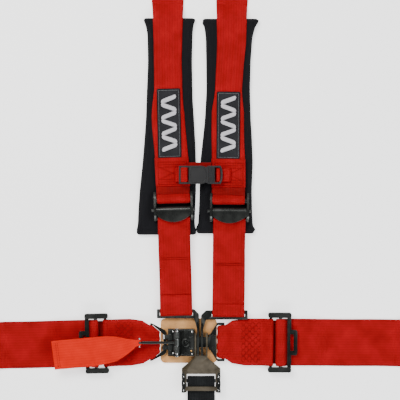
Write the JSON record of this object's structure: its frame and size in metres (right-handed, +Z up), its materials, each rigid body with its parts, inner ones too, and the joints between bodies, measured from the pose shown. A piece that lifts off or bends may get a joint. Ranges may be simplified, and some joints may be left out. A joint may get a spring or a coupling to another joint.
{
  "type": "racing harness",
  "caption": "Latch-and-link racing harness laid flat: shoulder, lap and sub belts with adjusters, pads, chest strap and bolt-in ends.",
  "frame": {"origin": "middle of the laid-out harness, on the surface it lies on", "axes": "+Y towards the shoulder belts' anchors, +X towards the wearer's left lap anchor as seen from the front, +Z up out of the front face"},
  "size_m": [0.892, 0.892, 0.0294],
  "materials": {
    "red_webbing": "woven nylon",
    "black_webbing": "woven nylon",
    "orange_tab": "woven nylon",
    "pad_fabric": "padded cloth",
    "patch_fabric": "embroidered twill",
    "leather": "vegetable tanned",
    "black_metal": "black oxide, semi-gloss",
    "bronze_metal": "dark bronze plating",
    "bright_metal": "zinc plated",
    "black_plastic": "moulded acetal"
  },
  "bodies": {
    "harness": {"buckle_leather_pad": "leather", "chest_buckle_socket": "black_plastic", "keeper_post_lower": "black_metal", "keeper_post_upper": "black_metal", "latch_base": "black_metal", "latch_cover": "black_metal", "latch_spring_lower": "black_metal", "latch_spring_upper": "black_metal", "left_cam_lever_pin": "bright_metal", "left_chest_strap": "red_webbing", "left_lap_adjuster_frame": "black_metal", "left_lap_anchor_slide": "black_metal", "left_lap_inner_belt": "red_webbing", "left_lap_loop": "black_metal", "left_lap_outer_belt": "red_webbing", "left_pad_patch": "patch_fabric", "left_shoulder_adjuster_frame": "black_metal", "left_shoulder_anchor_slide": "black_metal", "left_shoulder_link": "black_metal", "left_shoulder_lower_belt": "red_webbing", "left_shoulder_pad": "pad_fabric", "left_shoulder_upper_belt": "red_webbing", "lever_pivot_pin": "bright_metal", "right_cam_lever_pin": "bright_metal", "right_pad_patch": "patch_fabric", "right_shoulder_adjuster_frame": "black_metal", "right_shoulder_anchor_slide": "black_metal", "right_shoulder_link": "black_metal", "right_shoulder_lower_belt": "red_webbing", "right_shoulder_pad": "pad_fabric", "right_shoulder_upper_belt": "red_webbing", "sub_anchor_slide": "black_metal", "sub_belt": "black_webbing", "sub_link": "bronze_metal"},
    "latch_lever": {"latch_lever": "black_metal", "pull_tab_pin": "bright_metal"},
    "pull_tab": {"pull_tab": "orange_tab"},
    "latch_keeper": {"latch_keeper": "black_metal"},
    "right_lap": {"latch_tongue": "black_metal", "tongue_rivet_upper": "bright_metal", "tongue_rivet_lower": "bright_metal", "right_lap_link": "black_metal", "right_lap_inner_belt": "red_webbing", "right_lap_adjuster_frame": "black_metal", "right_lap_outer_belt": "red_webbing", "right_lap_anchor_slide": "black_metal"},
    "left_cam_lever": {"left_cam_lever": "black_metal"},
    "right_cam_lever": {"right_cam_lever": "black_metal"},
    "left_lap_slide_bar": {"left_lap_slide_bar": "black_metal"},
    "right_lap_slide_bar": {"right_lap_slide_bar": "black_metal"},
    "sub_slide_bar": {"sub_slide_bar": "black_metal"},
    "chest_plug": {"chest_buckle_plug": "black_plastic", "right_chest_strap": "red_webbing"},
    "release_arm_upper": {"release_arm_upper": "black_plastic"},
    "release_arm_lower": {"release_arm_lower": "black_plastic"},
    "left_shoulder_bracket": {"left_shoulder_anchor_bracket": "black_metal"},
    "right_shoulder_bracket": {"right_shoulder_anchor_bracket": "black_metal"},
    "left_lap_bracket": {"left_lap_anchor_bracket": "black_metal"},
    "right_lap_bracket": {"right_lap_anchor_bracket": "black_metal"},
    "sub_bracket": {"sub_anchor_bracket": "black_metal"}
  },
  "joints": [
    {"name": "latch_lever_lift", "type": "hinge", "parent": "harness", "child": "latch_lever", "pos_m": [-0.0374, -0.2305, 0.0187], "axis": [0, 1, 0], "range_deg": [0, 75]},
    {"name": "latch_keeper_rise", "type": "slide", "parent": "harness", "child": "latch_keeper", "axis": [0, 0, 1], "range_m": [0, 0.003]},
    {"name": "pull_tab_swing", "type": "hinge", "parent": "latch_lever", "child": "pull_tab", "pos_m": [-0.098, -0.2305, 0.0187], "axis": [0, 1, 0], "range_deg": [0, 60]},
    {"name": "tongue_release", "type": "slide", "parent": "harness", "child": "right_lap", "axis": [1, 0, 0], "range_m": [0, 0.045]},
    {"name": "left_cam_lever_lift", "type": "hinge", "parent": "harness", "child": "left_cam_lever", "pos_m": [-0.04279, -0.01606, 0.0194], "axis": [-0.9997, -0.0262, 0], "range_deg": [0, 55]},
    {"name": "right_cam_lever_lift", "type": "hinge", "parent": "harness", "child": "right_cam_lever", "pos_m": [0.04757, -0.01801, 0.0194], "axis": [-1, 0.0096, 0], "range_deg": [0, 55]},
    {"name": "left_lap_bar_travel", "type": "slide", "parent": "harness", "child": "left_lap_slide_bar", "axis": [-0.9997, -0.0244, 0], "range_m": [0, 0.003]},
    {"name": "right_lap_bar_travel", "type": "slide", "parent": "right_lap", "child": "right_lap_slide_bar", "axis": [1, -0.007, 0], "range_m": [0, 0.003]},
    {"name": "sub_bar_travel", "type": "slide", "parent": "harness", "child": "sub_slide_bar", "axis": [0, -1, 0], "range_m": [0, 0.003]},
    {"name": "chest_plug_release", "type": "slide", "parent": "harness", "child": "chest_plug", "axis": [1, 0, 0], "range_m": [0, 0.02]},
    {"name": "release_arm_upper_press", "type": "hinge", "parent": "chest_plug", "child": "release_arm_upper", "pos_m": [0.0134, 0.0501, 0.0245], "axis": [0, 0, 1], "range_deg": [0, 7], "stiffness_Nm_per_rad": 0.05},
    {"name": "release_arm_lower_press", "type": "hinge", "parent": "chest_plug", "child": "release_arm_lower", "pos_m": [0.0134, 0.0309, 0.0245], "axis": [0, 0, -1], "range_deg": [0, 7], "stiffness_Nm_per_rad": 0.05},
    {"name": "left_shoulder_bracket_fold", "type": "hinge", "parent": "harness", "child": "left_shoulder_bracket", "pos_m": [-0.05332, 0.38602, 0.006], "axis": [0.9997, 0.0262, 0], "range_deg": [0, 60]},
    {"name": "right_shoulder_bracket_fold", "type": "hinge", "parent": "harness", "child": "right_shoulder_bracket", "pos_m": [0.05145, 0.386, 0.006], "axis": [1, -0.0096, 0], "range_deg": [0, 60]},
    {"name": "left_lap_bracket_fold", "type": "hinge", "parent": "harness", "child": "left_lap_bracket", "pos_m": [-0.38602, -0.238, 0.006], "axis": [-0.0244, 0.9997, 0], "range_deg": [0, 60]},
    {"name": "right_lap_bracket_fold", "type": "hinge", "parent": "right_lap", "child": "right_lap_bracket", "pos_m": [0.386, -0.23293, 0.006], "axis": [-0.007, -1, 0], "range_deg": [0, 60]},
    {"name": "sub_bracket_fold", "type": "hinge", "parent": "harness", "child": "sub_bracket", "pos_m": [0.0018, -0.386, 0.006], "axis": [-1, 0, 0], "range_deg": [0, 60]}
  ],
  "couplings": [
    {"joint": "latch_keeper_rise", "follows": "latch_lever_lift", "m_per_rad": 0.00229}
  ]
}
